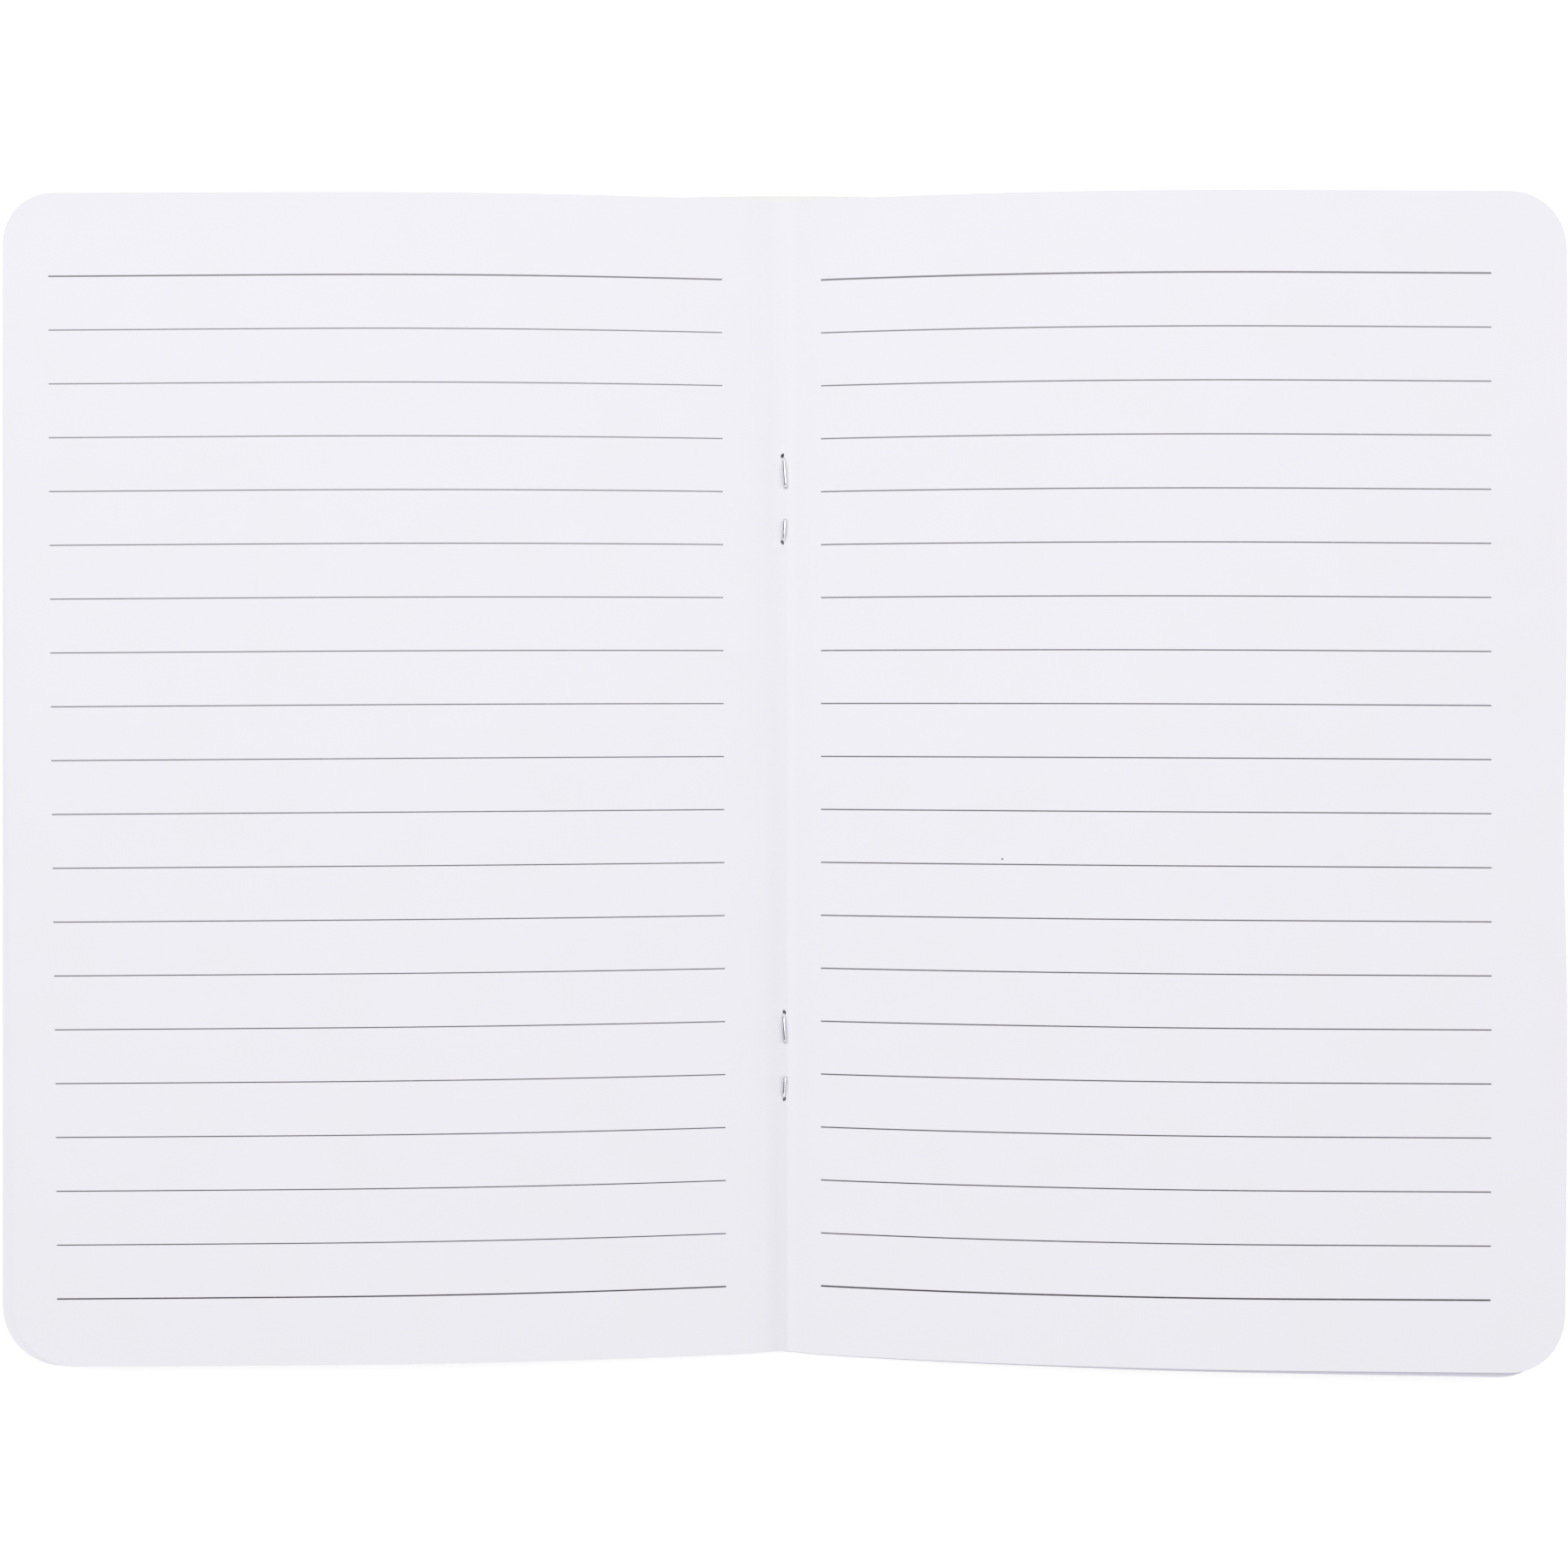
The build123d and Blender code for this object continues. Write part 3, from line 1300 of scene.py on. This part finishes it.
@dataclass
class Staple:
    """Wire staple: its crown outside the cover, its legs bent in over the innermost sheet."""

    frame: BookFrame
    node: str
    leans: tuple[float, float]
    leg_ends: tuple[float, float]
    hole_widths: dict[Side, float]
    crown_bend: float = 0.45
    clinch_bend: float = 1.1
    leg_spacing: float = 11.4
    wire_sides: int = 16
    bow: float = 8.0
    straight_steps: int = 2
    crown_bend_steps: int = 8
    clinch_bend_steps: int = 12
    clinched_leg_steps: int = 8
    tip_scale: Triple = (0.92, 1.0, 0.55)
    tip_drop: float = 0.35
    weld_share: float = 0.02
    low: Vector = field(init=False)
    high: Vector = field(init=False)
    radius: float = field(init=False)
    along: float = field(init=False)

    def __post_init__(self) -> None:
        """Takes the sizes from the frame."""
        self.low, self.high = self.frame.box(self.node)
        self.radius = (self.high.x - self.low.x) / 2
        self.along = (self.low.y + self.high.y) / 2

    def holes(self) -> list[LegHole]:
        """Holes of the two legs, the one nearer the tail first."""
        return [LegHole(self.along + way * self.leg_spacing / 2, way, self.hole_widths) for way in (-1, 1)]

    @property
    def tips_along(self) -> float:
        """Place along the fold midway between the tips of the legs."""
        tail_end, head_end = self.leg_ends
        return self.along + (head_end - tail_end) / 2

    def half_path(self, leg_end: float) -> list[Matrix]:
        """Stops from the middle of the crown to the tip of one leg.

        Args:
            leg_end: Distance of the tip from the middle of the staple.

        Returns:
            A matrix for each stop.
        """
        half = self.leg_spacing / 2
        leg = self.high.z - self.low.z - 2 * self.radius - self.crown_bend - self.clinch_bend
        path = WirePath(Vector((0.0, 0.0, self.low.z + self.radius)))
        path.run(half - self.crown_bend, steps=self.straight_steps)
        path.run(self.crown_bend * math.pi / 2, turn=90.0, steps=self.crown_bend_steps)
        path.run(leg, steps=self.straight_steps)
        path.run(self.clinch_bend * math.pi / 2, turn=90.0 - self.bow, steps=self.clinch_bend_steps)
        path.run(half - self.clinch_bend - leg_end, turn=2 * self.bow, steps=self.clinched_leg_steps)
        return path.stops

    def build(self, material: bpy.types.Material) -> bpy.types.Object:
        """Builds the bent wire.

        Args:
            material: Finish of the wire.

        Returns:
            The new piece.
        """
        mesh = bmesh.new()
        for way, lean, leg_end in zip((-1, 1), self.leans, self.leg_ends):
            self.sweep_half(mesh, way, lean, leg_end)
        bmesh.ops.remove_doubles(mesh, verts=mesh.verts, dist=self.weld_share * self.radius)
        bmesh.ops.translate(mesh, vec=(0.0, self.along, 0.0), verts=mesh.verts)
        # The cut tips are the only faces that don't have four corners, and they stay flat
        for face in mesh.faces:
            face.smooth = len(face.verts) == 4
        piece = finished_piece(mesh, f"{self.node}_wire", [material])
        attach(piece, "spine")
        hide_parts(self.node)
        return piece

    def sweep_half(self, mesh: bmesh.types.BMesh, way: int, lean: float, leg_end: float) -> None:
        """Sweeps the wire from the middle of the crown to one tip.

        Args:
            mesh: Mesh that gets the wire.
            way: 1 towards the head, -1 towards the tail.
            lean: Sideways shift of the tip.
            leg_end: Distance of the tip from the middle of the staple.
        """
        mirror = Matrix.Diagonal((1.0, way, 1.0, 1.0))
        stops = [mirror @ stop for stop in self.half_path(leg_end)]
        ring = bmesh.ops.create_circle(
            mesh, cap_ends=False, radius=self.radius, segments=self.wire_sides, matrix=stops[0]
        )["verts"]
        swept = list(ring)
        edges = {edge for vertex in ring for edge in vertex.link_edges}
        for before, after in zip(stops, stops[1:]):
            made = bmesh.ops.extrude_edge_only(mesh, edges=list(edges))["geom"]
            ring = [item for item in made if isinstance(item, bmesh.types.BMVert)]
            edges = [item for item in made if isinstance(item, bmesh.types.BMEdge)]
            edges = {edge for edge in edges if all(vertex in ring for vertex in edge.verts)}
            bmesh.ops.transform(mesh, matrix=after @ before.inverted(), verts=ring)
            swept += ring
        self.cut_tip(mesh, ring, edges)
        paper_top = self.high.z - 2 * self.radius
        leg_length = self.leg_spacing / 2 - leg_end
        for vertex in swept:
            if vertex.co.z > paper_top:
                vertex.co.x += lean * (self.leg_spacing / 2 - abs(vertex.co.y)) / leg_length

    def cut_tip(
        self, mesh: bmesh.types.BMesh, ring: list[bmesh.types.BMVert], edges: set[bmesh.types.BMEdge]
    ) -> None:
        """Closes the tip with a chisel cut.

        Args:
            mesh: Mesh of the wire.
            ring: Points of the last ring.
            edges: Edges of the last ring.
        """
        middle = sum((vertex.co for vertex in ring), Vector()) / len(ring)
        bmesh.ops.scale(mesh, vec=self.tip_scale, space=Matrix.Translation(-middle), verts=ring)
        bmesh.ops.translate(mesh, vec=(0.0, 0.0, -self.tip_drop * self.radius), verts=ring)
        bmesh.ops.edgeloop_fill(mesh, edges=list(edges))


@dataclass
class Stage:
    """Floor, light and camera. The eye and the floor's gap are in millimetres, other lengths in metres."""

    eye: Triple = (0.06, -0.98, 234.69)
    focal_pixels: float = 2008.0
    image_pixels: int = 1800
    sensor_width: float = 36.0
    clip_start: float = 0.01
    floor_tint: Colour = (0.88, 0.88, 0.88)
    floor_roughness: float = 0.9
    floor_reach: float = 2.0
    floor_gap: float = 0.02
    near_floor: float = 0.25
    far_floor: float = 0.70
    near_lift: float = 0.36
    far_lift: float = 0.75
    ambient: float = 0.46
    key_power: float = 5.95
    key_place: Triple = (-0.05, 0.25, 0.90)
    key_size: float = 0.8
    card_tint: Colour = (0.30, 0.30, 0.31)
    card_roughness: float = 0.9
    card_half_length: float = 0.5
    left_card: tuple[Point, Point] = ((-0.75, 0.05), (-0.06, 0.60))
    right_card: tuple[Point, Point] = ((0.80, 0.35), (0.80, 0.03))

    def build(self) -> None:
        """Builds the whole stage."""
        self.floor()
        self.world()
        self.key_light()
        self.dark_cards()
        self.camera()
        bpy.context.scene.view_settings.view_transform = "Standard"

    def floor(self) -> bpy.types.Object:
        """White floor that shows the shadow.

        Returns:
            The floor.
        """
        mesh = bmesh.new()
        bmesh.ops.create_grid(mesh, x_segments=1, y_segments=1, size=self.floor_reach / MM)
        bmesh.ops.translate(mesh, vec=(0.0, 0.0, -self.floor_gap), verts=mesh.verts)
        material = bpy.data.materials.new("white_floor")
        tree = FinishTree(material)
        place = tree.node("ShaderNodeTexCoord", {}, {}).outputs["Object"]
        away = tree.node("ShaderNodeVectorMath", {"operation": "LENGTH"}, {0: place}).outputs["Value"]
        far = Tone(tree, away).ramp(self.near_floor, self.far_floor)
        lift = self.seen_rays(tree) * (far * (self.far_lift - self.near_lift) + self.near_lift)
        glow = tree.mix(lift, BLACK, WHITE)
        tree.surface({
            "Base Color": (*self.floor_tint, 1.0),
            "Roughness": self.floor_roughness,
            "Specular IOR Level": 0.0,
            "Emission Color": glow,
            "Emission Strength": 1.0,
        })
        made = finished_piece(mesh, "floor", [material])
        return made

    @staticmethod
    def seen_rays(tree: FinishTree) -> Tone:
        """Finds the rays that show the background.

        Args:
            tree: Tree that gets the nodes.

        Returns:
            1 for rays from the camera, from metal and from glass, else 0.
        """
        path = tree.node("ShaderNodeLightPath", {}, {})
        kinds = ("Is Camera Ray", "Is Glossy Ray", "Is Transmission Ray")
        camera, glossy, through = (Tone(tree, path.outputs[kind]) for kind in kinds)
        return camera.larger(glossy).larger(through)

    def world(self) -> None:
        """Even soft light from all round, with a white background."""
        world = bpy.data.worlds.new("studio")
        bpy.context.scene.world = world
        tree = FinishTree(world)
        strength = self.seen_rays(tree) * (1.0 - self.ambient) + self.ambient
        shader = tree.node("ShaderNodeBackground", {}, {"Color": (*WHITE, 1.0), "Strength": strength})
        tree.node("ShaderNodeOutputWorld", {}, {"Surface": shader.outputs[0]})

    def key_light(self) -> None:
        """Large soft lamp above the head of the book, a little to the left."""
        lamp = bpy.data.lights.new("key", "AREA")
        lamp.energy = self.key_power
        lamp.size = self.key_size
        made = bpy.data.objects.new("key", lamp)
        made.location = self.key_place
        made.rotation_euler = (-Vector(self.key_place)).to_track_quat("-Z", "Y").to_euler()
        bpy.context.scene.collection.objects.link(made)

    def dark_cards(self) -> bpy.types.Object:
        """Dark grey cards along both sides, which show only as darker lines along the wire.

        Returns:
            Both cards in one object.
        """
        mesh = bmesh.new()
        for (first_x, first_z), (last_x, last_z) in (self.left_card, self.right_card):
            corners = [
                (first_x, -self.card_half_length, first_z),
                (last_x, -self.card_half_length, last_z),
                (last_x, self.card_half_length, last_z),
                (first_x, self.card_half_length, first_z),
            ]
            mesh.faces.new([mesh.verts.new(Vector(corner) / MM) for corner in corners])
        material = bpy.data.materials.new("dark_card")
        inputs = {"Base Color": (*self.card_tint, 1.0), "Roughness": self.card_roughness}
        FinishTree(material).surface(inputs)
        made = finished_piece(mesh, "dark_cards", [material])
        made.visible_camera = False
        made.visible_diffuse = False
        made.visible_shadow = False
        made.visible_transmission = False
        return made

    def camera(self) -> None:
        """Camera that looks straight down on the fold."""
        lens = bpy.data.cameras.new("photo_camera")
        lens.sensor_width = self.sensor_width
        lens.lens = self.focal_pixels / self.image_pixels * self.sensor_width
        lens.clip_start = self.clip_start
        made = bpy.data.objects.new("photo_camera", lens)
        made.location = Vector(self.eye) * MM
        bpy.context.scene.collection.objects.link(made)
        bpy.context.scene.camera = made


def main() -> None:
    """Builds the book and its stage."""
    logging.basicConfig(level=logging.INFO, format="%(name)s %(message)s")
    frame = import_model()
    book = BookFrame(frame)
    staples = [
        Staple(
            book,
            "lower_staple",
            leans=(0.22, 0.22),
            leg_ends=(2.70, 1.72),
            hole_widths={Side.LEFT: 0.12, Side.RIGHT: 0.34},
        ),
        Staple(
            book,
            "upper_staple",
            leans=(0.20, 0.30),
            leg_ends=(2.65, 1.41),
            hole_widths={Side.LEFT: 0.38, Side.RIGHT: 0.06},
        ),
    ]
    holes = [hole for staple in staples for hole in staple.holes()]
    dents = {
        Side.LEFT: [EdgeDent(depth=1.34, along=-80.0, half_length=85.0, reach=101.0)],
        Side.RIGHT: [
            EdgeDent(depth=0.48, along=-6.0, half_length=14.0, reach=9.0),
            EdgeDent(depth=0.25, along=-76.0, half_length=18.0, reach=20.0),
        ],
    }
    left_ruling = Ruling(start=7.90, end=95.5, slant=0.0023, lean=0.0034, head_width=0.145, tail_width=0.13)
    right_ruling = Ruling(start=4.95, end=91.45, slant=0.0002, lean=0.0, head_width=0.168, tail_width=0.148)
    tips_along = tuple(staple.tips_along for staple in staples)
    # Each page gets painted shade along the fold, wider on the left page, and painted shade beside the
    # staple legs
    papers = {
        Side.LEFT: PaperFinish(
            "left_page_paper",
            left_ruling,
            shift=(210.0, 0.0, 0.0),
            crease_reach=2.8,
            tips_along=tips_along,
        ),
        Side.RIGHT: PaperFinish(
            "right_page_paper",
            right_ruling,
            shift=(0.0, 0.0, 0.0),
            crease_reach=0.9,
            flecks=((28.5, -10.6),),
            tips_along=tips_along,
        ),
    }
    finishes = {side: paper.material() for side, paper in papers.items()}
    # The second right-hand leaf's paper is a copy of the right page's with painted shade along its tail
    # edge, where it shows below the first leaf
    second_leaf = replace(
        papers[Side.RIGHT], name="second_leaf_paper", flecks=(), tail_tint=(0.81, 0.81, 0.87)
    )
    SheetBlock(book, holes, dents, finishes, second_leaf.material()).build()
    Cover(book, holes).build()
    wire = WireFinish().material()
    for staple in staples:
        staple.build(wire)
    Stage().build()


if __name__ == "__main__":
    main()
